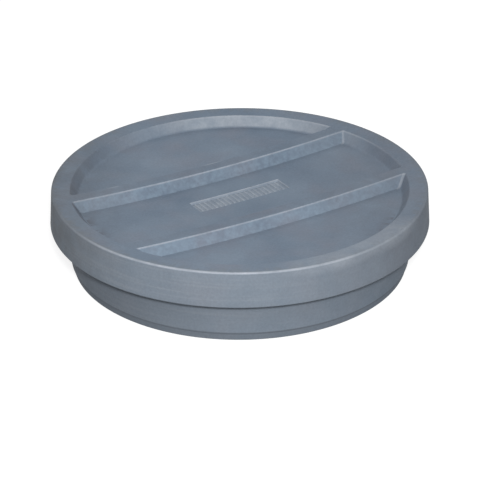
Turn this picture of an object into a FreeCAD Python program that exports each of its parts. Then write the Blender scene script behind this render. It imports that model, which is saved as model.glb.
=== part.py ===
import FreeCAD, Part
import math
import os

# Round plastic manhole cover, one sealed moulding with a closed underside, filled inside.
# Millimetres and degrees. The origin is the centre of the underside, +Z is up and the ribs run along X.

# Body, from the opening that the skirt plugs into; heights and widths are those before edges are rounded
OPENING_DIAMETER = 600.0
SKIRT_CLEARANCE = 3.0
SEAT_WIDTH = 29.0
TOTAL_HEIGHT = 141.5
FLANGE_HEIGHT = 62.0
FOOT_HEIGHT = 14.0
FOOT_STEP = 2.0
FLANGE_DRAFT = 4.0
SKIRT_DRAFT = 3.2
FOOT_DRAFT = 9.0

# Dished top, with a recess that two ribs part into pockets
DISH_DEPTH = 12.9
RIM_WIDTH = 32.0
RECESS_DEPTH = 17.5
RECESS_DRAFT = 34.0
RIB_SPACING = 204.0
RIB_WIDTH = 23.0
RIB_DRAFT = 36.0

# Shallow panel sunk in the middle pocket, with a row of plain tread bars
PANEL_LENGTH = 178.0
PANEL_WIDTH = 39.0
PANEL_DEPTH = 4.0
PANEL_DRAFT = 20.0
PANEL_SHIFT_X = 5.5
PANEL_SHIFT_Y = 9.0
BAR_PITCH = 9.0
BAR_WIDTH = 4.6
BAR_RISE = 2.0
BAR_DRAFT = 25.0
BAR_MARGIN = 4.0

# Rounded edges
TOP_EDGE_ROUND = 3.5
SEAT_CHAMFER = 2.0
BASE_CHAMFER = 1.5
POCKET_CORNER_ROUND = 4.0
LIP_ROUND = 2.2
PANEL_CORNER_ROUND = 2.0

# How far cutting solids reach past the faces that they cut, and how close a point counts as touching
REACH = 6.0
TOUCH = 0.02

Y_AXIS = FreeCAD.Vector(0, 1, 0)
Z_AXIS = FreeCAD.Vector(0, 0, 1)
ORIGIN = FreeCAD.Vector(0, 0, 0)


def lean(draft, height):
    """Sideways run of a drafted wall over a height."""
    return height * math.tan(math.radians(draft))


# Radii and heights that follow from the sizes above
seat_height = TOTAL_HEIGHT - FLANGE_HEIGHT
skirt_radius = OPENING_DIAMETER / 2 - SKIRT_CLEARANCE
skirt_end_radius = skirt_radius - lean(SKIRT_DRAFT, seat_height - FOOT_HEIGHT)
foot_radius = skirt_end_radius - FOOT_STEP
base_radius = foot_radius - lean(FOOT_DRAFT, FOOT_HEIGHT)
flange_radius = skirt_radius + SEAT_WIDTH
top_radius = flange_radius - lean(FLANGE_DRAFT, FLANGE_HEIGHT)
recess_radius = top_radius - RIM_WIDTH
shoulder_radius = top_radius - RIM_WIDTH / 2
dish_radius = (top_radius ** 2 + DISH_DEPTH ** 2) / (2 * DISH_DEPTH)
dish_centre = FreeCAD.Vector(0, 0, TOTAL_HEIGHT - DISH_DEPTH + dish_radius)


def dish_height(distance, depth):
    """Height of the dished surface, sunk by a depth, at a distance from the axis."""
    return dish_centre.z - math.sqrt((dish_radius + depth) ** 2 - distance ** 2)


def ball(depth):
    """The sphere whose lower cap is the dished surface sunk by a depth, its poles lying along Y."""
    return Part.makeSphere(dish_radius + depth, dish_centre, Y_AXIS)


def on_dish(edge):
    """True where an edge lies on the dished surface."""
    return max(abs(p.distanceToPoint(dish_centre) - dish_radius) for p in edge.discretize(3)) < TOUCH


def wall_point(lip, draft, side, depth):
    """Where the drafted wall that leaves the top at lip and leans to side meets the dish sunk by a depth."""
    slope = math.radians(draft)
    rising = FreeCAD.Vector(side * math.sin(slope), 0, math.cos(slope))
    start = FreeCAD.Vector(lip, 0, dish_height(lip, 0))
    arm = start - dish_centre
    swing = arm.dot(rising)
    travel = -swing - math.sqrt(swing ** 2 - arm.dot(arm) + (dish_radius + depth) ** 2)
    return start + rising * travel


def corner_arc(before, corner, after, size):
    """Start, middle and end of the arc of a radius that rounds the corner between two straight lines."""
    back = (before - corner).normalize()
    ahead = (after - corner).normalize()
    half_angle = back.getAngle(ahead) / 2
    reach = size / math.tan(half_angle)
    middle = corner + (back + ahead).normalize() * (size / math.sin(half_angle) - size)
    return corner + back * reach, middle, corner + ahead * reach


def turned():
    """The turned body with its top edge rounded and a flat disc inside the sloping rim."""
    side = [(0, 0),
            (base_radius - BASE_CHAMFER, 0),
            (base_radius + lean(FOOT_DRAFT, BASE_CHAMFER), BASE_CHAMFER),
            (foot_radius, FOOT_HEIGHT),
            (skirt_end_radius, FOOT_HEIGHT),
            (skirt_radius, seat_height),
            (flange_radius - SEAT_CHAMFER, seat_height),
            (flange_radius - lean(FLANGE_DRAFT, SEAT_CHAMFER), seat_height + SEAT_CHAMFER)]
    top = [(top_radius, TOTAL_HEIGHT),
           (shoulder_radius, dish_height(shoulder_radius, 0)),
           (0, dish_height(shoulder_radius, 0))]
    side, top = ([FreeCAD.Vector(radius, 0, height) for radius, height in points] for points in (side, top))
    start, middle, end = corner_arc(side[-1], top[0], top[1], TOP_EDGE_ROUND)
    outline = (Part.makePolygon(side + [start]).Edges + [Part.Arc(start, middle, end).toShape()]
               + Part.makePolygon([end] + top[1:] + side[:1]).Edges)
    return Part.Face(Part.Wire(outline)).revolve(ORIGIN, Z_AXIS, 360)


def dish():
    """Solid that sinks the disc inside the rim to the dished surface."""
    low = dish_height(0, 0) - REACH
    well = Part.makeCylinder(shoulder_radius, TOTAL_HEIGHT + REACH - low, FreeCAD.Vector(0, 0, low))
    return well.common(ball(0))


def pan():
    """Cone whose side is the outer wall of the recess, its seam turned to a rib."""
    low = dish_height(0, RECESS_DEPTH) - REACH
    high = TOTAL_HEIGHT + REACH
    rise_from = dish_height(recess_radius, 0)
    low_radius, high_radius = (recess_radius + lean(RECESS_DRAFT, z - rise_from) for z in (low, high))
    cone = Part.makeCone(low_radius, high_radius, high - low, FreeCAD.Vector(0, 0, low))
    cone.rotate(ORIGIN, Z_AXIS, math.degrees(math.asin(RIB_SPACING / 2 / high_radius)))
    return cone


def strip(low_wall, high_wall):
    """Space between two lines of wall points, swept along the dish about its centre."""
    points = low_wall + high_wall[::-1]
    face = Part.Face(Part.makePolygon(points + points[:1]))
    half_sweep = math.degrees(math.asin(flange_radius / dish_radius))
    face.rotate(ORIGIN, Z_AXIS, 90)
    face.rotate(dish_centre, Y_AXIS, -half_sweep)
    return face.revolve(dish_centre, Y_AXIS, 2 * half_sweep)


def pockets():
    """Rear, middle and front pockets of the recess as solids."""
    reaches = (RECESS_DEPTH + REACH, -DISH_DEPTH - 2 * REACH)
    near = (RIB_SPACING - RIB_WIDTH) / 2
    far = (RIB_SPACING + RIB_WIDTH) / 2
    near_wall = [wall_point(near, RIB_DRAFT, 1, depth) for depth in reaches]
    opposite_wall = [FreeCAD.Vector(-point.x, 0, point.z) for point in near_wall]
    far_wall = [wall_point(far, RIB_DRAFT, -1, depth) for depth in reaches]
    open_side = [FreeCAD.Vector(flange_radius, 0, dish_height(flange_radius, depth)) for depth in reaches]
    bowl = pan().common(ball(RECESS_DEPTH))
    rear = bowl.common(strip(far_wall, open_side))
    middle = bowl.common(strip(opposite_wall, near_wall))
    front = rear.copy()
    front.rotate(ORIGIN, Z_AXIS, 180)
    return [rear, middle, front]


def soften(pocket):
    """A pocket with its upright corners rounded."""
    def rises(edge):
        depths = [p.distanceToPoint(dish_centre) - dish_radius for p in edge.discretize(2)]
        return max(depths) > RECESS_DEPTH - TOUCH and min(depths) < 0

    return pocket.makeFillet(POCKET_CORNER_ROUND, [edge for edge in pocket.Edges if rises(edge)])


def panel():
    """Sunk panel of the middle pocket as a solid."""
    floor = dish_height(0, RECESS_DEPTH)

    def rectangle(height):
        grow = lean(PANEL_DRAFT, height - floor)
        length = PANEL_LENGTH + 2 * grow
        width = PANEL_WIDTH + 2 * grow
        corner = FreeCAD.Vector(PANEL_SHIFT_X - length / 2, PANEL_SHIFT_Y - width / 2, height)
        return Part.makePlane(length, width, corner).OuterWire

    block = Part.makeLoft([rectangle(floor - REACH), rectangle(floor + REACH)], True)
    uprights = [edge for edge in block.Edges if abs(edge.Vertexes[0].Z - edge.Vertexes[1].Z) > REACH]
    block = block.makeFillet(PANEL_CORNER_ROUND, uprights)
    return block.common(ball(RECESS_DEPTH + PANEL_DEPTH))


def tread_bars():
    """Row of bars with drafted sides, standing across the floor of the panel."""
    span = PANEL_WIDTH - 2 * BAR_MARGIN
    count = int((PANEL_LENGTH - 2 * BAR_MARGIN - BAR_WIDTH) // BAR_PITCH) + 1
    bars = []
    for index in range(count):
        x = PANEL_SHIFT_X + (index - (count - 1) / 2) * BAR_PITCH
        floor = dish_height(math.hypot(x, PANEL_SHIFT_Y), RECESS_DEPTH + PANEL_DEPTH)

        def outline(height):
            trim = lean(BAR_DRAFT, height)
            width = BAR_WIDTH - 2 * trim
            length = span - 2 * trim
            corner = FreeCAD.Vector(x - width / 2, PANEL_SHIFT_Y - length / 2, floor + height)
            return Part.makePlane(width, length, corner).OuterWire

        bars.append(Part.makeLoft([outline(-PANEL_DEPTH), outline(BAR_RISE)], True))
    return bars


def cover():
    """The whole moulding, with the lips of its pockets rounded before the panel is sunk."""
    body = turned().cut([dish()] + [soften(pocket) for pocket in pockets()])
    lips = [edge for edge in body.Edges if on_dish(edge) and edge.BoundBox.XMax < recess_radius + TOUCH]
    return body.makeFillet(LIP_ROUND, lips).cut(panel().cut(tread_bars()))


os.makedirs("parts", exist_ok=True)
cover().exportStep("parts/cover.step")
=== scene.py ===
import math

import bmesh
import bpy
import numpy as np
from mathutils import Euler, Matrix, Vector
from mathutils.geometry import delaunay_2d_cdt
from mathutils.kdtree import KDTree


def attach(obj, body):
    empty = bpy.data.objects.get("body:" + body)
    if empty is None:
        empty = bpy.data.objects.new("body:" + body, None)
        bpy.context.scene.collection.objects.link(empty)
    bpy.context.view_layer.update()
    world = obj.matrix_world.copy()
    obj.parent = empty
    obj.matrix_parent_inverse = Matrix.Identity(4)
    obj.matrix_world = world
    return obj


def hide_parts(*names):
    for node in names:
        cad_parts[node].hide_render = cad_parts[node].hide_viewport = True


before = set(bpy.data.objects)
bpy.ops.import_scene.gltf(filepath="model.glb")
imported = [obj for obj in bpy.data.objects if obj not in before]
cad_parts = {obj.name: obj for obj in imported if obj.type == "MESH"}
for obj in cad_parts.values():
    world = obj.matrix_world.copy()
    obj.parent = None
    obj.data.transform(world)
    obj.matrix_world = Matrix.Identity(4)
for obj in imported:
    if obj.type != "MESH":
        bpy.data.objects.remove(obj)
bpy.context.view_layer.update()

# Sizes of the moulding in millimetres and degrees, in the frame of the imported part
MM = 0.001
TOTAL_HEIGHT = 141.5
FLANGE_RADIUS = 326.0
FLANGE_HEIGHT = 62.0
FLANGE_DRAFT = 4.0
SKIRT_RADIUS = 297.0
SKIRT_DRAFT = 3.2
FOOT_HEIGHT = 14.0
FOOT_STEP = 2.0
FOOT_DRAFT = 9.0
DISH_DEPTH = 12.9
RIM_WIDTH = 32.0
RECESS_DEPTH = 17.5
RECESS_DRAFT = 34.0
RIB_SPACING = 204.0
RIB_WIDTH = 23.0
RIB_DRAFT = 36.0
PANEL_LENGTH = 178.0
PANEL_WIDTH = 39.0
PANEL_DEPTH = 4.0
PANEL_DRAFT = 20.0
PANEL_CENTRE = (5.5, 9.0)
BAR_PITCH = 9.0
BAR_WIDTH = 4.6
BAR_RISE = 2.0
BAR_DRAFT = 25.0
BAR_MARGIN = 4.0

# Roundings of the edges, in millimetres
TOP_EDGE_ROUND = 3.5
SEAT_CHAMFER = 2.0
BASE_CHAMFER = 1.5
ROOT_ROUND = 1.5
SMALL_ROUND = 0.6
CORNER_ROUND = 4.0
LIP_ROUND = 2.2
RIB_FOOT_ROUND = 3.0
WALL_FOOT_ROUND = 7.0
PANEL_CORNER_ROUND = 2.0
PANEL_LIP_ROUND = 0.7
BAR_ROUND = 0.6

# Fineness of the mesh: points on stretches of an outline, steps of an arc in degrees, gaps in millimetres
TURN_POINTS = 384
RIB_POINTS = 60
CORNER_POINTS = 8
REAR_POINTS = 120
END_POINTS = 36
BLOCK_CORNER_POINTS = 4
ARC_STEP = 9.0
OPEN_SPACING = 12.0
BASE_SPACING = 48.0
PANEL_SPACING = 4.0

# How near two points count as one in plan and in the mesh, in millimetres
PLAN_TOLERANCE = 1e-6
MERGE_DISTANCE = 0.01

# Straight ends of a wall's section as a share of its larger round, and how far large faces set the normals
SECTION_MARGIN = 1.2
FACE_WEIGHT = 90

# Marks of use, of painted light and shade, and of the turned side, each from 0 to 1 at every point of the
# skin
MARKS = ("worn", "handled", "polished", "scuffed", "grimy", "swept")

# Marks on the outer wall of the recess, a painted highlight, painted shade and the lip's wear and painted
# highlight: angles about the axis in degrees and how marked the wall is there, and the heights above the
# floor, in millimetres, below which the painted highlight and the painted shade fade
WALL_SCUFFS = ((4, 12, 26, 32, 48, 62, 75, 85, 118), (0.0, 0.3, 0.4, 0.95, 1.0, 1.0, 0.8, 0.45, 0.0))
WALL_GRIME = ((-60, -31, -8, 4, 10, 105, 140, 165), (0.0, 0.5, 0.35, 0.1, 0.0, 0.0, 0.5, 1.0))
WALL_WEAR = ((60, 95), (1.0, 0.0))
SCUFF_FADE = 3.5
GRIME_FADE = 4.0

# Pale marks on lips, wear and, where a lip faces the lit side, a painted highlight: their reach down a wall
# in millimetres, at most a share of the wall
RUBBED_SIDE = (-0.52, -0.85)
WEAR_REACH = 2.0
WEAR_LIMIT = 0.5

# Painted shade on the floors along the foot of the outer wall: its reach and the least distance from the
# axis that it is worked out for, in millimetres, and its strength by the cosine of the angle from the lit
# side
FOOT_REACH = 16.0
AXIS_GUARD = 1.0
FOOT_GRIME = ((0.15, 0.35, 0.55, 0.70), (0.0, 1.0, 1.0, 0.0))

# Painted highlights on the pockets' corners that face -X and -Y by more than a share, scuffs on the panel
# and on its bars, and grime on the tops of the ribs
CORNER_FACING = 0.15
CORNER_SCUFF = 0.74
PANEL_SCUFF = 0.48
BAR_SCUFF = 0.74
RIB_GRIME = 0.22

# Top edge: the side where it is polished and carries a pale painted highlight, the cosines of the angle from
# it between which polish and the painted highlight grow, its wear all round, the painted highlight on that
# side, and the power by which the painted highlight falls off
POLISHED_SIDE = (-0.60, -0.80)
POLISH_FADE = (0.42, 0.80)
TOP_WEAR = 0.15
FRONT_WEAR = 1.0
WEAR_FALL = 3

# Patterns of the plastic: noise scale per metre and detail, the noise values that become the least and the
# most, and those two where they aren't 0 and 1
CLOUDS = {"scale": 9.0, "detail": 5.0, "low": 0.3, "high": 0.7}
PATCHES = {"scale": 14.0, "detail": 3.0, "low": 0.45, "high": 0.75, "most": 0.7}
STREAKS = {"scale": 1.0, "detail": 4.0, "low": 0.5, "high": 0.72, "most": 0.42}
SMUDGES = {"scale": 22.0, "detail": 4.0, "low": 0.5, "high": 0.7, "most": 0.35}
FLECKS = {"scale": 110.0, "detail": 3.0, "low": 0.35, "high": 0.7, "most": 0.5}
RUBS = {"scale": 40.0, "detail": 5.0, "low": 0.3, "high": 0.6, "least": 0.5}
GLOSS = {"scale": 30.0, "detail": 3.0, "low": 0.3, "high": 0.7, "least": 0.66, "most": 0.74}

# Colours of the plastic and of the marks on it, and how much of its colour a full mark lays on
DEEP_BLUE = (0.142, 0.184, 0.240, 1)
PALE_BLUE = (0.191, 0.238, 0.298, 1)
VIOLET_GREY = (0.190, 0.208, 0.252, 1)
STREAK_GREY = (0.245, 0.270, 0.300, 1)
SMUDGE_BLUE = (0.135, 0.172, 0.215, 1)
# Pale blue flecks on rib faces turned to the lamp: painted light
SWEPT_BLUE = (0.245, 0.325, 0.405, 1)
# Greyer tint of the whole side, and its share: painted light, for the warmer light on the side
HANDLED_GREY = (0.177, 0.202, 0.231, 1)
HANDLED_SHARE = 0.6
# Pale lips and top edge, and share: wear, and a painted highlight where they face the lamp
WORN_GREY = (0.395, 0.425, 0.475, 1)
WORN_SHARE = 0.8
# Pale scuffs on the panel and bars, and painted highlights on the rear wall, the pocket corners and the
# front rim
SCUFF_GREY = (0.350, 0.385, 0.430, 1)
SCUFF_SHARE = 0.95
# Grime on the rib tops, and painted shade on the recess walls and on the floors along them
GRIME_VIOLET = (0.105, 0.112, 0.138, 1)
GRIME_SHARE = 0.7

# Direction of the cover's left end as the camera sees it; places along it are in metres from the axis
LEFT_END = (-0.855, 0.518, 0.0)

# Streaks brushed round the side: stretch and tilt of their noise, and the places over which they grow
STREAK_STRETCH = (5.0, 5.0, 190.0)
STREAK_TILT = (0.01, 0.015, 0.0)
STREAK_REACH = (-0.15, 0.15)
STREAK_LEAST = 0.15

# Dirt and painted shade at the two ends, where the side turns from the lamp, stronger on the side than on
# top: colours above and below the seat, places and shares
DIRT_GREY = (0.115, 0.120, 0.128, 1)
DIRT_BLUE = (0.108, 0.125, 0.148, 1)
LEFT_REACH = (0.17, 0.34)
LEFT_DIRT = 0.6
DIRT_VIOLET = (0.138, 0.152, 0.178, 1)
DUSK_BLUE = (0.126, 0.158, 0.200, 1)
RIGHT_REACH = (-0.08, -0.24)
RIGHT_DIRT = 0.4
SIDE_DIRT = 1.3

# Painted shade on the foot, a painted shadow along the foot's step, painted shade on the skirt under the
# flange, and darkening below the seat towards the left end and on the flange towards the seat: places or
# heights in metres between which it changes, and its shares
FOOT_LINE = (0.0115, 0.0130, 0.0158, 0.0170)
FOOT_DIRT = 0.42
LINE_DIRT = 0.85
LOWER_REACH = (0.02, 0.17)
LOWER_DIRT = 0.45
SKIRT_REACH = (0.025, 0.074)
SKIRT_DIRT = 0.40
BRIM_REACH = 0.010
BRIM_DIRT = 0.12

# Pale blots, the two on the front rim a painted highlight: centre and half axes in metres and share, and the
# part of the way out that is all pale
PALE_BLOTS = (((-0.016, -0.306, 0.140), (0.10, 0.06, 0.02), 0.38),
              ((0.105, -0.287, 0.140), (0.09, 0.06, 0.02), 0.38),
              ((0.014, 0.1125, 0.131), (0.028, 0.0028, 0.01), 0.55),
              ((-0.185, 0.1120, 0.135), (0.014, 0.0035, 0.01), 0.45))
BLOT_CORE = 0.35

# Fine grain and slow waves: noise scales per metre and details, the noise values between which the grain
# goes from dark to pale, by what share of the colour it does, and heights in metres
GRAIN_SCALE = 260.0
GRAIN_DETAIL = 2.0
GRAIN_RANGE = (0.3, 0.7)
GRAIN_DEPTH = 0.05
GRAIN_HEIGHT = 0.00012
WAVE_SCALE = 18.0
WAVE_DETAIL = 2.0
WAVE_HEIGHT = 0.0015

# Shine of the polished edge and of all the plastic
POLISH_ROUGHNESS = 0.31
SPECULAR = 0.15

# Camera as the photograph looks at the cover, in metres and degrees, its lens and sensor in millimetres
CAMERA_AZIMUTH = -31.19
CAMERA_ELEVATION = 27.66
CAMERA_DISTANCE = 3.2204
CAMERA_ROLL = -0.355
CAMERA_AIM = Vector((0, 0, 0.0307))
CAMERA_LENS = 138.85
SENSOR_WIDTH = 36.0

# Stage and lamps, in metres, degrees and watts
FLOOR_SIZE = 12.0
FLOOR_GAP = 0.0003
FLOOR_PAINT = 0.45
FLOOR_SHADE = 0.3
FLOOR_GLOW = 0.82
WHITE = (1.0, 1.0, 1.0, 1.0)
WORLD_LIGHT = 0.33
LAMP_AIM = Vector((0, 0, 0.1))
KEY_LAMP = {"turn": 2.0, "elevation": 29.9, "distance": 3.0, "width": 0.25, "height": 0.25, "energy": 79.0}
BACK_LAMP = {"turn": 180.0, "elevation": 38.0, "distance": 3.0, "width": 2.4, "height": 0.9, "energy": 26.0}


def lean(draft, height):
    """Sideways run of a drafted wall over a height."""
    return height * math.tan(math.radians(draft))


# Radii and heights that follow from the sizes above
seat_height = TOTAL_HEIGHT - FLANGE_HEIGHT
skirt_end_radius = SKIRT_RADIUS - lean(SKIRT_DRAFT, seat_height - FOOT_HEIGHT)
foot_radius = skirt_end_radius - FOOT_STEP
base_radius = foot_radius - lean(FOOT_DRAFT, FOOT_HEIGHT)
top_radius = FLANGE_RADIUS - lean(FLANGE_DRAFT, FLANGE_HEIGHT)
recess_radius = top_radius - RIM_WIDTH
dish_radius = (top_radius ** 2 + DISH_DEPTH ** 2) / (2 * DISH_DEPTH)
dish_centre = TOTAL_HEIGHT - DISH_DEPTH + dish_radius


def dish_height(distance, depth):
    """Height of the dished surface, sunk by a depth, at a distance from the axis."""
    return dish_centre - np.sqrt((dish_radius + depth) ** 2 - distance ** 2)


def on_dish(plan, depth):
    """Plan points set on the dished surface sunk by a depth."""
    return np.c_[plan, dish_height(np.hypot(plan[:, 0], plan[:, 1]), depth)]


def wall_run(lip, draft, side):
    """How far a drafted pocket wall, leaving the top at lip, runs sideways before it meets the floor."""
    slope = math.radians(draft)
    start = np.array((lip, dish_height(lip, 0) - dish_centre))
    rising = np.array((side * math.sin(slope), math.cos(slope)))
    swing = start @ rising
    travel = swing + math.sqrt(swing ** 2 - start @ start + (dish_radius + RECESS_DEPTH) ** 2)
    return travel * math.sin(slope)


def rounded(corners, sizes):
    """Open outline through corners, each inner one rounded by an arc of its own size."""
    points = [np.array(corners[0], float)]
    for before, corner, after, size in zip(corners, corners[1:], corners[2:], sizes):
        before, corner, after = (np.array(point, float) for point in (before, corner, after))
        back = (before - corner) / np.linalg.norm(before - corner)
        ahead = (after - corner) / np.linalg.norm(after - corner)
        half = math.acos(np.clip(back @ ahead, -1, 1)) / 2
        centre = corner + (back + ahead) / np.linalg.norm(back + ahead) * size / math.sin(half)
        start = corner + back * size / math.tan(half) - centre
        end = corner + ahead * size / math.tan(half) - centre
        sweep = math.pi - 2 * half
        count = max(2, math.ceil(math.degrees(sweep) / ARC_STEP))
        for step in np.linspace(0, 1, count + 1):
            weights = math.sin((1 - step) * sweep), math.sin(step * sweep)
            points.append(centre + (start * weights[0] + end * weights[1]) / math.sin(sweep))
    return np.array(points + [np.array(corners[-1], float)])


def arc(centre, radius, start, end, count):
    """Points of an arc in plan without its last one, angles in radians."""
    turn = np.linspace(start, end, count, endpoint=False)
    return np.c_[centre[0] + radius * np.cos(turn), centre[1] + radius * np.sin(turn)]


def straight(start, end, count):
    """Points of a straight line in plan without its last one."""
    return np.linspace(start, end, count, endpoint=False)


def inside(points, loop):
    """True for the points in plan that lie inside a closed loop."""
    crossed = np.zeros(len(points), bool)
    for (ax, ay), (bx, by) in zip(loop, np.roll(loop, -1, axis=0)):
        spans = (ay > points[:, 1]) != (by > points[:, 1])
        if spans.any():
            cut = ax + (points[:, 1] - ay) * (bx - ax) / (by - ay)
            crossed ^= spans & (points[:, 0] < cut)
    return crossed


class Skin:
    """Collects the patches of the moulding, and how marked each point is by use and by painted light and
    shade, into one mesh.
    """

    def __init__(self):
        self.points = []
        self.faces = []
        self.marks = {name: [] for name in MARKS}

    def add(self, points, faces, **marks):
        """Takes in the points and faces of one patch; a mark that isn't given is 0."""
        first = len(self.points)
        self.points.extend(map(tuple, points))
        self.faces.extend([first + index for index in face] for face in faces)
        for name, values in self.marks.items():
            values.extend(np.broadcast_to(marks.get(name, 0.0), len(points)))

    def rings(self, loops, **marks):
        """Quads between closed loops of as many points each; a mark is one value, or a row for each loop."""
        count = len(loops[0])
        faces = [(low + a, low + b, low + count + b, low + count + a)
                 for low in range(0, (len(loops) - 1) * count, count)
                 for a, b in zip(range(count), list(range(1, count)) + [0])]
        marks = {name: np.broadcast_to(value, (len(loops), count)).ravel() for name, value in marks.items()}
        self.add(np.concatenate(loops), faces, **marks)

    def fill(self, outer, holes, height, spacing, **marks):
        """Triangles between an outer loop and holes, all in plan; a mark may be a function of the plan."""
        loops = [outer] + holes
        border = np.concatenate(loops)
        tree = KDTree(len(border))
        for index, (x, y) in enumerate(border):
            tree.insert((x, y, 0), index)
        tree.balance()
        low, high = outer.min(0), outer.max(0)
        rows = np.arange(low[1], high[1], spacing * math.sqrt(3) / 2)
        inner = [(x + spacing / 2 * (row % 2), y) for row, y in enumerate(rows)
                 for x in np.arange(low[0], high[0], spacing)]
        inner = [point for point in inner if tree.find((*point, 0))[2] > spacing / 2]
        edges = []
        for loop in loops:
            first = len(edges)
            edges += [(first + a, first + (a + 1) % len(loop)) for a in range(len(loop))]
        plan = [Vector(point) for point in [*border, *inner]]
        plan, _, faces = delaunay_2d_cdt(plan, edges, [], 0, PLAN_TOLERANCE)[:3]
        plan = np.array(plan)
        middles = np.array([plan[list(face)].mean(0) for face in faces])
        kept = inside(middles, outer)
        for hole in holes:
            kept &= ~inside(middles, hole)
        marks = {name: value(plan) if callable(value) else value for name, value in marks.items()}
        self.add(height(plan), [face for face, keep in zip(faces, kept) if keep], **marks)

    def mesh(self, name):
        """One closed mesh of all the patches, with the marks of its points as attributes."""
        mesh = bpy.data.meshes.new(name)
        mesh.from_pydata([Vector(point) * MM for point in self.points], [], self.faces)
        for label, values in self.marks.items():
            layer = mesh.attributes.new(label, "FLOAT", "POINT")
            layer.data.foreach_set("value", np.array(values, np.float32))
        shape = bmesh.new()
        shape.from_mesh(mesh)
        bmesh.ops.remove_doubles(shape, verts=shape.verts, dist=MERGE_DISTANCE * MM)
        loose = [vert for vert in shape.verts if not vert.link_faces]
        bmesh.ops.delete(shape, geom=loose, context="VERTS")
        bmesh.ops.recalc_face_normals(shape, faces=shape.faces)
        for face in shape.faces:
            face.smooth = True
        shape.to_mesh(mesh)
        shape.free()
        return mesh


def turned_profile():
    """Side of the body in distance and height, from the underside to where the top edge ends on the dish."""
    rim_end = top_radius - 2 * TOP_EDGE_ROUND
    corners = [(0, 0),
               (base_radius - BASE_CHAMFER, 0),
               (base_radius + lean(FOOT_DRAFT, BASE_CHAMFER), BASE_CHAMFER),
               (foot_radius, FOOT_HEIGHT),
               (skirt_end_radius, FOOT_HEIGHT),
               (SKIRT_RADIUS, seat_height),
               (FLANGE_RADIUS - SEAT_CHAMFER, seat_height),
               (FLANGE_RADIUS - lean(FLANGE_DRAFT, SEAT_CHAMFER), seat_height + SEAT_CHAMFER),
               (top_radius, TOTAL_HEIGHT),
               (rim_end, dish_height(rim_end, 0))]
    sizes = [SMALL_ROUND] * 4 + [ROOT_ROUND] + [SMALL_ROUND] * 2 + [TOP_EDGE_ROUND]
    return rounded(corners, sizes)


def add_side(skin, circle):
    """Side and underside of the body; returns the outline where the side ends on the dish."""
    profile = turned_profile()[1:]
    loops = [np.c_[circle * radius, np.full(TURN_POINTS, height)] for radius, height in profile]
    edge = np.flatnonzero(profile[:, 1] > TOTAL_HEIGHT - 2 * TOP_EDGE_ROUND)[:-1]
    polished = np.zeros((len(loops), 1))
    polished[edge, 0] = np.sin(np.linspace(0, math.pi, len(edge)))
    # Pale painted highlight along the front of the top edge, over a little wear all round; polish lowers
    # roughness on the same side
    front = np.interp(circle @ POLISHED_SIDE, POLISH_FADE, (0, 1))
    worn = TOP_WEAR + (FRONT_WEAR - TOP_WEAR) * front ** WEAR_FALL
    skin.rings(loops, handled=1.0, polished=polished * front, worn=polished * worn)
    skin.fill(circle * profile[0, 0], [], lambda plan: np.c_[plan, np.zeros(len(plan))], BASE_SPACING)
    return circle * profile[-1, 0]


def pocket_outline(radius, low, high):
    """Closed outline in plan of a disc cut off below the line low and above the line high, if any."""
    corner_low = low + CORNER_ROUND
    reach_low = math.sqrt((radius - CORNER_ROUND) ** 2 - corner_low ** 2)
    turn_low = math.atan2(corner_low, reach_low)
    parts = [straight((-reach_low, low), (reach_low, low), RIB_POINTS),
             arc((reach_low, corner_low), CORNER_ROUND, -math.pi / 2, turn_low, CORNER_POINTS)]
    if high is None:
        parts.append(arc((0, 0), radius, turn_low, math.pi - turn_low, REAR_POINTS))
    else:
        corner_high = high - CORNER_ROUND
        reach_high = math.sqrt((radius - CORNER_ROUND) ** 2 - corner_high ** 2)
        turn_high = math.atan2(corner_high, reach_high)
        left_corner = (-reach_high, corner_high)
        parts += [arc((0, 0), radius, turn_low, turn_high, END_POINTS),
                  arc((reach_high, corner_high), CORNER_ROUND, turn_high, math.pi / 2, CORNER_POINTS),
                  straight((reach_high, high), (-reach_high, high), RIB_POINTS),
                  arc(left_corner, CORNER_ROUND, math.pi / 2, math.pi - turn_high, CORNER_POINTS),
                  arc((0, 0), radius, math.pi - turn_high, math.pi - turn_low, END_POINTS)]
    left_corner = (-reach_low, corner_low)
    parts.append(arc(left_corner, CORNER_ROUND, math.pi - turn_low, 1.5 * math.pi, CORNER_POINTS))
    return np.concatenate(parts)


def outer_share(high):
    """How far each point of a pocket's outline is on the outer wall, from 0 on the ribs to 1."""
    rising = np.linspace(0, 1, CORNER_POINTS, endpoint=False)
    count, sides = (REAR_POINTS, 1) if high is None else (END_POINTS, 2)
    return np.tile(np.concatenate((np.zeros(RIB_POINTS), rising, np.ones(count), 1 - rising)), sides)


def wall_section(run, depth, lip_round, floor_round):
    """Share of the run and depth below the top at each step down a wall, with how strongly each step on the
    lip is marked pale.
    """
    margin = SECTION_MARGIN * max(lip_round, floor_round)
    section = rounded([(-margin, 0), (0, 0), (run, depth), (run + margin, depth)], [lip_round, floor_round])
    section = section[1:-1]
    split = np.argmax(np.diff(section[:, 1])) + 1
    down = section[split] - section[split - 1]
    reach = min(WEAR_REACH / np.linalg.norm(down), WEAR_LIMIT)
    section = np.insert(section, split, section[split - 1] + reach * down, axis=0)
    wear = np.zeros(len(section))
    wear[:split] = np.sin(np.linspace(0, math.pi / 2, split))
    return section[:, 0] / run, section[:, 1], wear


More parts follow.
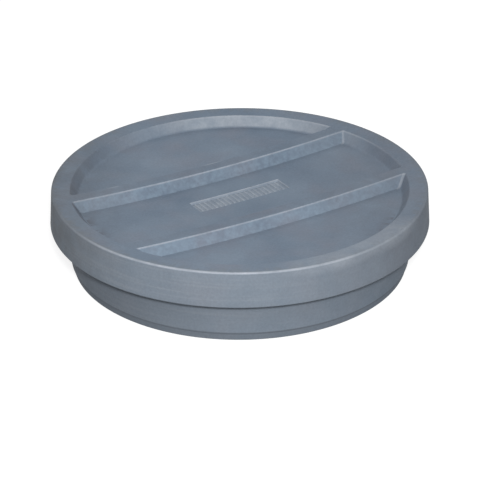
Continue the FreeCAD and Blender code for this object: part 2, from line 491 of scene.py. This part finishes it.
def wall_marks(walls, outline, on_wall, wear, above_floor):
    """Marks at each step down a pocket's walls, by where they stand and which way they face."""
    face = np.ones((len(walls), 1))
    face[[0, -1]] = 0
    outer = face * (on_wall == 1)
    angle = np.degrees(np.arctan2(walls[..., 1], walls[..., 0]))
    # Painted highlight and painted shade on the outer wall, and a painted highlight on corners that face -X
    # and -Y
    scuffed, grimy = (outer * np.interp(angle, *table) * np.clip(above_floor[:, None] / fade, 0, 1)
                      for table, fade in ((WALL_SCUFFS, SCUFF_FADE), (WALL_GRIME, GRIME_FADE)))
    # Pale lips: wear, and a painted highlight where a lip faces the lit side; rubbed is how far it faces
    # that side
    worn = wear[:, None] * (1 - outer * (1 - np.interp(angle, *WALL_WEAR)))
    along = np.roll(outline, -1, axis=0) - np.roll(outline, 1, axis=0)
    facing = along @ ((0, 1), (-1, 0)) / np.linalg.norm(along, axis=1)[:, None]
    rubbed = np.clip(facing @ RUBBED_SIDE, 0, 1)
    corner = face * (on_wall < 1) * (facing.max(1) < -CORNER_FACING)
    return {"worn": worn * rubbed, "grimy": grimy, "swept": face * (on_wall == 0) * rubbed,
            "scuffed": np.maximum(scuffed, corner * CORNER_SCUFF)}


def foot_grime(plan, floor_radius):
    """Painted shade on the floor of a pocket at points in plan, by how near they are to the outer wall."""
    distance = np.maximum(np.hypot(plan[:, 0], plan[:, 1]), AXIS_GUARD)
    nearness = np.clip(1 - (floor_radius - distance) / FOOT_REACH, 0, 1)
    return nearness * np.interp(plan @ RUBBED_SIDE / distance, *FOOT_GRIME)


def add_pocket(skin, low_lip, high_lip, turn, holes):
    """Walls and floor of one pocket, turned about the axis; returns its outline on the dish."""
    recess_run = wall_run(recess_radius, RECESS_DRAFT, 1)
    shares, depths, wear = wall_section(recess_run, RECESS_DEPTH, LIP_ROUND, RIB_FOOT_ROUND)
    wall_shares, wall_depths, _ = wall_section(recess_run, RECESS_DEPTH, LIP_ROUND, WALL_FOOT_ROUND)
    on_wall = outer_share(high_lip)
    spin = np.array(((math.cos(turn), math.sin(turn)), (-math.sin(turn), math.cos(turn))))
    outlines = []
    for share, wall_share in zip(shares, wall_shares):
        low = low_lip + share * wall_run(abs(low_lip), RIB_DRAFT, -math.copysign(1, low_lip))
        high = None if high_lip is None else high_lip - share * wall_run(high_lip, RIB_DRAFT, 1)
        outlines.append(pocket_outline(recess_radius - wall_share * recess_run, low, high) @ spin)
    sunk = depths[:, None] + (wall_depths - depths)[:, None] * on_wall
    walls = np.array([on_dish(plan, depth) for plan, depth in zip(outlines, sunk)])
    skin.rings(list(walls), **wall_marks(walls, outlines[0], on_wall, wear, RECESS_DEPTH - wall_depths))
    floor_radius = recess_radius - wall_shares[-1] * recess_run
    # Painted shade on the floor along the foot of the outer wall
    skin.fill(outlines[-1], holes, lambda plan: on_dish(plan, RECESS_DEPTH), OPEN_SPACING,
              grimy=lambda plan: foot_grime(plan, floor_radius))
    return outlines[0]


def rounded_block(centre, length, width, radius, side_points):
    """Closed outline in plan of a rectangle with rounded corners."""
    half_length = length / 2 - radius
    half_width = width / 2 - radius
    corners = np.array([(1, -1), (1, 1), (-1, 1), (-1, -1)]) * (half_length, half_width)
    parts = []
    for index, (corner, following) in enumerate(zip(corners, np.roll(corners, -1, axis=0))):
        turn = index * math.pi / 2
        out = radius * np.array((math.cos(turn), math.sin(turn)))
        parts.append(arc(corner, radius, turn - math.pi / 2, turn, BLOCK_CORNER_POINTS))
        parts.append(straight(corner + out, following + out, side_points[index % 2]))
    return np.concatenate(parts) + centre


def bar_centres():
    """Centres in plan of the tread bars along the panel."""
    count = int((PANEL_LENGTH - 2 * BAR_MARGIN - BAR_WIDTH) // BAR_PITCH) + 1
    middle, y = PANEL_CENTRE
    return [(middle + (index - (count - 1) / 2) * BAR_PITCH, y) for index in range(count)]


def add_bar(skin, centre):
    """One tread bar; returns its outline on the floor of the panel."""
    span = PANEL_WIDTH - 2 * BAR_MARGIN
    run = lean(BAR_DRAFT, BAR_RISE)
    shares, rises, _ = wall_section(run, BAR_RISE, BAR_ROUND, BAR_ROUND)
    floor = RECESS_DEPTH + PANEL_DEPTH
    side_points = [round(side / PANEL_SPACING) for side in (span, BAR_WIDTH)]
    outlines = [rounded_block(centre, BAR_WIDTH - 2 * share * run, span - 2 * share * run,
                              BAR_ROUND, side_points) for share in shares]
    scuffed = np.linspace(PANEL_SCUFF, BAR_SCUFF, len(shares))
    skin.rings([on_dish(plan, floor - rise) for plan, rise in zip(outlines, rises)],
               scuffed=scuffed[:, None])
    skin.fill(outlines[-1], [], lambda plan: on_dish(plan, floor - BAR_RISE), PANEL_SPACING,
              scuffed=BAR_SCUFF)
    return outlines[0]


def add_panel(skin):
    """Sunk panel with its tread bars; returns its outline on the floor of the middle pocket."""
    run = lean(PANEL_DRAFT, PANEL_DEPTH)
    shares, depths, wear = wall_section(run, PANEL_DEPTH, PANEL_LIP_ROUND, PANEL_LIP_ROUND)
    side_points = [round(side / PANEL_SPACING) for side in (PANEL_WIDTH, PANEL_LENGTH)]
    outlines = [rounded_block(PANEL_CENTRE, PANEL_LENGTH - 2 * share * run, PANEL_WIDTH - 2 * share * run,
                              PANEL_CORNER_ROUND, side_points) for share in shares]
    scuffed = np.full((len(shares), 1), PANEL_SCUFF)
    scuffed[0] = 0
    skin.rings([on_dish(plan, RECESS_DEPTH + depth) for plan, depth in zip(outlines, depths)],
               worn=wear[:, None], scuffed=scuffed)
    bars = [add_bar(skin, centre) for centre in bar_centres()]
    skin.fill(outlines[-1], bars, lambda plan: on_dish(plan, RECESS_DEPTH + PANEL_DEPTH), PANEL_SPACING,
              scuffed=PANEL_SCUFF)
    return outlines[0]


def build_cover():
    """The whole moulding as one closed mesh."""
    skin = Skin()
    turn = np.linspace(0, 2 * math.pi, TURN_POINTS, endpoint=False)
    rim = add_side(skin, np.c_[np.cos(turn), np.sin(turn)])
    near = (RIB_SPACING - RIB_WIDTH) / 2
    far = (RIB_SPACING + RIB_WIDTH) / 2
    holes = [add_pocket(skin, far, None, turn_by, []) for turn_by in (0, math.pi)]
    holes.append(add_pocket(skin, -near, near, 0, [add_panel(skin)]))
    skin.fill(rim, holes, lambda plan: on_dish(plan, 0), OPEN_SPACING,
              grimy=lambda plan: RIB_GRIME * (np.hypot(plan[:, 0], plan[:, 1]) < recess_radius))
    return skin.mesh("cover_skin")


def add_node(tree, kind, inputs=None, **settings):
    """New shader node with its settings, and its inputs set to values or joined to other sockets."""
    node = tree.nodes.new("ShaderNode" + kind)
    for name, value in settings.items():
        setattr(node, name, value)
    for key, value in (inputs or {}).items():
        if isinstance(value, bpy.types.NodeSocket):
            tree.links.new(value, node.inputs[key])
        else:
            node.inputs[key].default_value = value
    return node


def noise(tree, place, scale, detail):
    """Cloudy value from 0 to 1, its clouds about 1 / scale metres wide."""
    return add_node(tree, "TexNoise", {"Vector": place, "Scale": scale, "Detail": detail}).outputs["Fac"]


def spread(tree, value, low, high, new_low=0.0, new_high=1.0):
    """A value stretched so that low and high become the new ones, and kept between them."""
    return add_node(tree, "MapRange", {0: value, 1: low, 2: high, 3: new_low, 4: new_high}).outputs[0]


def pattern(tree, place, scale, detail, low, high, least=0.0, most=1.0):
    """Noise stretched so that it goes from least to most."""
    return spread(tree, noise(tree, place, scale, detail), low, high, least, most)


def times(tree, first, second):
    """Product of two values."""
    return add_node(tree, "Math", {0: first, 1: second}, operation="MULTIPLY").outputs[0]


def blend_colour(tree, factor, first, second, mode="MIX"):
    """Colour that goes from the first to the second as the factor goes from 0 to 1."""
    node = add_node(tree, "Mix", {0: factor, 6: first, 7: second}, data_type="RGBA", blend_type=mode)
    return node.outputs[2]


def blot(tree, place, centre, size):
    """1 in the core of an ellipsoid of half axes size about a centre, fading to 0 at its skin."""
    apart = add_node(tree, "VectorMath", {0: place, 1: centre}, operation="SUBTRACT").outputs[0]
    apart = add_node(tree, "VectorMath", {0: apart, 1: size}, operation="DIVIDE").outputs[0]
    away = add_node(tree, "VectorMath", {0: apart}, operation="LENGTH").outputs["Value"]
    return spread(tree, away, BLOT_CORE, 1.0, 1.0, 0.0)


def bare_colour(tree, place):
    """Cloudy blue of the bare plastic, with greyer patches."""
    colour = blend_colour(tree, pattern(tree, place, **CLOUDS), DEEP_BLUE, PALE_BLUE)
    return blend_colour(tree, pattern(tree, place, **PATCHES), colour, VIOLET_GREY)


def handled_colour(tree, place, colour, handled, along):
    """Greyer side, a tint that is painted light, with brushed streaks that are strongest at the left, and
    darker smudges.
    """
    colour = blend_colour(tree, times(tree, handled, HANDLED_SHARE), colour, HANDLED_GREY)
    brushed = add_node(tree, "Mapping", {"Vector": place, "Scale": STREAK_STRETCH, "Rotation": STREAK_TILT})
    streaks = pattern(tree, brushed.outputs[0], **STREAKS)
    leftward = spread(tree, along, *STREAK_REACH, STREAK_LEAST, 1.0)
    colour = blend_colour(tree, times(tree, times(tree, streaks, leftward), handled), colour, STREAK_GREY)
    smudges = pattern(tree, place, **SMUDGES)
    return blend_colour(tree, times(tree, smudges, handled), colour, SMUDGE_BLUE)


def marked_colour(tree, place, colour, marks, rubbed):
    """Pale blue flecks painted as light on rib faces turned to the lamp, pale lips with wear and a painted
    highlight, scuffs and painted highlights, grime and painted shade.
    """
    flecks = times(tree, pattern(tree, place, **FLECKS), marks["swept"])
    colour = blend_colour(tree, flecks, colour, SWEPT_BLUE)
    for name, share, tone in (("worn", WORN_SHARE, WORN_GREY),
                              ("scuffed", SCUFF_SHARE, SCUFF_GREY),
                              ("grimy", GRIME_SHARE, GRIME_VIOLET)):
        colour = blend_colour(tree, times(tree, times(tree, marks[name], rubbed), share), colour, tone)
    return colour


def dirty_colour(tree, place, colour, handled, along, rubbed):
    """Dirt and painted shade at both ends, painted shade on the skirt and foot, a painted shadow in the line
    between those two, and darkening below the seat towards the left end and at the brim.
    """
    seat = seat_height * MM
    seat_edge = SMALL_ROUND * MM
    height = add_node(tree, "SeparateXYZ", {0: place}).outputs["Z"]
    below_seat = spread(tree, height, seat, seat + seat_edge, 1.0, 0.0)
    above_seat = spread(tree, height, seat - seat_edge, seat)

    # Dirt and painted shade at the two ends, stronger on the side
    ragged = times(tree, rubbed, spread(tree, handled, 0.0, 1.0, 1.0, SIDE_DIRT))
    for reach, share, tone, skirt_tone in ((LEFT_REACH, LEFT_DIRT, DIRT_GREY, DIRT_BLUE),
                                           (RIGHT_REACH, RIGHT_DIRT, DIRT_VIOLET, DUSK_BLUE)):
        end_dirt = times(tree, ragged, spread(tree, along, *reach, 0.0, share))
        colour = blend_colour(tree, end_dirt, colour, blend_colour(tree, below_seat, tone, skirt_tone))

    line_foot, line_low, line_high, line_top = FOOT_LINE
    # Painted shade on the foot and a painted shadow along its step
    foot_dirt = spread(tree, height, line_low, line_high, FOOT_DIRT, 0.0)
    line_dirt = times(tree, spread(tree, height, line_foot, line_low, 0.0, LINE_DIRT),
                      spread(tree, height, line_high, line_top, 1.0, 0.0))
    # Painted shade on the skirt under the flange
    skirt_dirt = times(tree, below_seat, spread(tree, height, *SKIRT_REACH, 0.0, SKIRT_DIRT))
    # Darker towards the left end below the seat, and on the flange towards the seat
    lower_dirt = times(tree, below_seat, spread(tree, along, *LOWER_REACH, 0.0, LOWER_DIRT))
    brim_dirt = times(tree, above_seat, spread(tree, height, seat, seat + BRIM_REACH, BRIM_DIRT, 0.0))
    for dirt in (foot_dirt, line_dirt, skirt_dirt, lower_dirt, brim_dirt):
        colour = blend_colour(tree, dirt, colour, DIRT_BLUE)
    return colour


def plastic():
    """Satin grey-blue polyethylene: cloudy, finely mottled, greyer on the side by painted light, paler on
    edges with wear and painted highlights, with painted highlights and painted shade elsewhere.
    """
    material = bpy.data.materials.new("grey_polyethylene")
    material.use_nodes = True
    tree = material.node_tree
    shader = tree.nodes["Principled BSDF"]
    place = add_node(tree, "TexCoord").outputs["Object"]
    along = add_node(tree, "VectorMath", {0: place, 1: LEFT_END}, operation="DOT_PRODUCT").outputs["Value"]
    marks = {name: add_node(tree, "Attribute", attribute_name=name).outputs["Fac"] for name in MARKS}
    rubbed = pattern(tree, place, **RUBS)

    colour = bare_colour(tree, place)
    colour = handled_colour(tree, place, colour, marks["handled"], along)
    colour = marked_colour(tree, place, colour, marks, rubbed)
    colour = dirty_colour(tree, place, colour, marks["handled"], along, rubbed)
    # Pale blots; those on the front rim are a painted highlight
    for centre, size, share in PALE_BLOTS:
        pale = times(tree, times(tree, blot(tree, place, centre, size), rubbed), share)
        colour = blend_colour(tree, pale, colour, SCUFF_GREY)
    grain = noise(tree, place, GRAIN_SCALE, GRAIN_DETAIL)
    grey = spread(tree, grain, *GRAIN_RANGE, 1.0 - GRAIN_DEPTH, 1.0 + GRAIN_DEPTH)
    mottle = add_node(tree, "CombineColor", {0: grey, 1: grey, 2: grey}).outputs[0]
    colour = blend_colour(tree, 1.0, colour, mottle, "MULTIPLY")
    tree.links.new(colour, shader.inputs["Base Color"])

    gloss = pattern(tree, place, **GLOSS)
    gloss = add_node(tree, "Mix", {0: marks["polished"], 2: gloss, 3: POLISH_ROUGHNESS}).outputs[0]
    tree.links.new(gloss, shader.inputs["Roughness"])
    shader.inputs["Specular IOR Level"].default_value = SPECULAR

    swell = noise(tree, place, WAVE_SCALE, WAVE_DETAIL)
    waves = add_node(tree, "Bump", {"Height": swell, "Distance": WAVE_HEIGHT, "Strength": 1.0})
    pits = add_node(tree, "Bump", {"Height": grain, "Distance": GRAIN_HEIGHT, "Strength": 1.0,
                                   "Normal": waves.outputs[0]})
    tree.links.new(pits.outputs[0], shader.inputs["Normal"])
    return material


def place_camera():
    """Camera that looks at the cover as the photograph does."""
    data = bpy.data.cameras.new("camera")
    data.lens = CAMERA_LENS
    data.sensor_width = SENSOR_WIDTH
    camera = bpy.data.objects.new("camera", data)
    bpy.context.scene.collection.objects.link(camera)
    tilt = Euler((math.radians(90 - CAMERA_ELEVATION), 0, math.radians(CAMERA_AZIMUTH))).to_matrix()
    roll = Matrix.Rotation(math.radians(CAMERA_ROLL), 3, "Z")
    place = CAMERA_AIM + tilt @ Vector((0, 0, CAMERA_DISTANCE))
    camera.matrix_world = Matrix.Translation(place) @ (tilt @ roll).to_4x4()
    bpy.context.scene.camera = camera


def white_to_eye(tree, output, shader, white):
    """Shows white to the camera and to reflections, and the shader itself to all other rays."""
    path = add_node(tree, "LightPath").outputs
    mirrored = add_node(tree, "Math", {0: path["Is Glossy Ray"], 1: path["Is Transmission Ray"]},
                        operation="MAXIMUM")
    seen = add_node(tree, "Math", {0: path["Is Camera Ray"], 1: mirrored.outputs[0]}, operation="MAXIMUM")
    mix = add_node(tree, "MixShader", {0: seen.outputs[0], 1: shader.outputs[0], 2: white.outputs[0]})
    tree.links.new(mix.outputs[0], output.inputs["Surface"])


def build_floor():
    """Pale floor that keeps a light shadow of the cover."""
    mesh = bpy.data.meshes.new("floor")
    corners = [(-1, -1, 0), (1, -1, 0), (1, 1, 0), (-1, 1, 0)]
    mesh.from_pydata([Vector(corner) * FLOOR_SIZE / 2 for corner in corners], [], [(0, 1, 2, 3)])
    floor = bpy.data.objects.new("floor", mesh)
    floor.location.z = -FLOOR_GAP
    bpy.context.scene.collection.objects.link(floor)
    material = bpy.data.materials.new("pale_floor")
    material.use_nodes = True
    tree = material.node_tree
    tree.nodes.remove(tree.nodes["Principled BSDF"])
    paint, shade = (add_node(tree, "BsdfDiffuse", {"Color": (level, level, level, 1)})
                    for level in (FLOOR_PAINT, FLOOR_SHADE))
    glow = add_node(tree, "Emission", {"Strength": FLOOR_GLOW})
    white = add_node(tree, "AddShader", {0: shade.outputs[0], 1: glow.outputs[0]})
    white_to_eye(tree, tree.nodes["Material Output"], paint, white)
    mesh.materials.append(material)


def build_world():
    """Even light from all round, white where it is seen."""
    world = bpy.data.worlds.new("studio")
    bpy.context.scene.world = world
    world.use_nodes = True
    tree = world.node_tree
    soft = tree.nodes["Background"]
    soft.inputs["Color"].default_value = WHITE
    soft.inputs["Strength"].default_value = WORLD_LIGHT
    white = add_node(tree, "Background", {"Color": WHITE})
    white_to_eye(tree, tree.nodes["World Output"], soft, white)


def add_lamp(name, turn, elevation, distance, width, height, energy):
    """Soft lamp that faces the cover, turned about it from where the camera stands."""
    lamp = bpy.data.lights.new(name, "AREA")
    lamp.shape = "RECTANGLE"
    lamp.size = width
    lamp.size_y = height
    lamp.energy = energy
    tilt = Euler((math.radians(90 - elevation), 0, math.radians(CAMERA_AZIMUTH + turn))).to_matrix()
    holder = bpy.data.objects.new(name, lamp)
    holder.matrix_world = Matrix.Translation(LAMP_AIM + tilt @ Vector((0, 0, distance))) @ tilt.to_4x4()
    bpy.context.scene.collection.objects.link(holder)
    return holder


cover = bpy.data.objects.new("cover_skin", build_cover())
bpy.context.scene.collection.objects.link(cover)
cover.data.materials.append(plastic())
flatten = cover.modifiers.new("weighted", "WEIGHTED_NORMAL")
flatten.mode = "FACE_AREA"
flatten.weight = FACE_WEIGHT
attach(cover, "root")
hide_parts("cover")

place_camera()
build_floor()
build_world()
add_lamp("key", **KEY_LAMP)
add_lamp("back", **BACK_LAMP).visible_glossy = False
bpy.context.scene.view_settings.view_transform = "Standard"
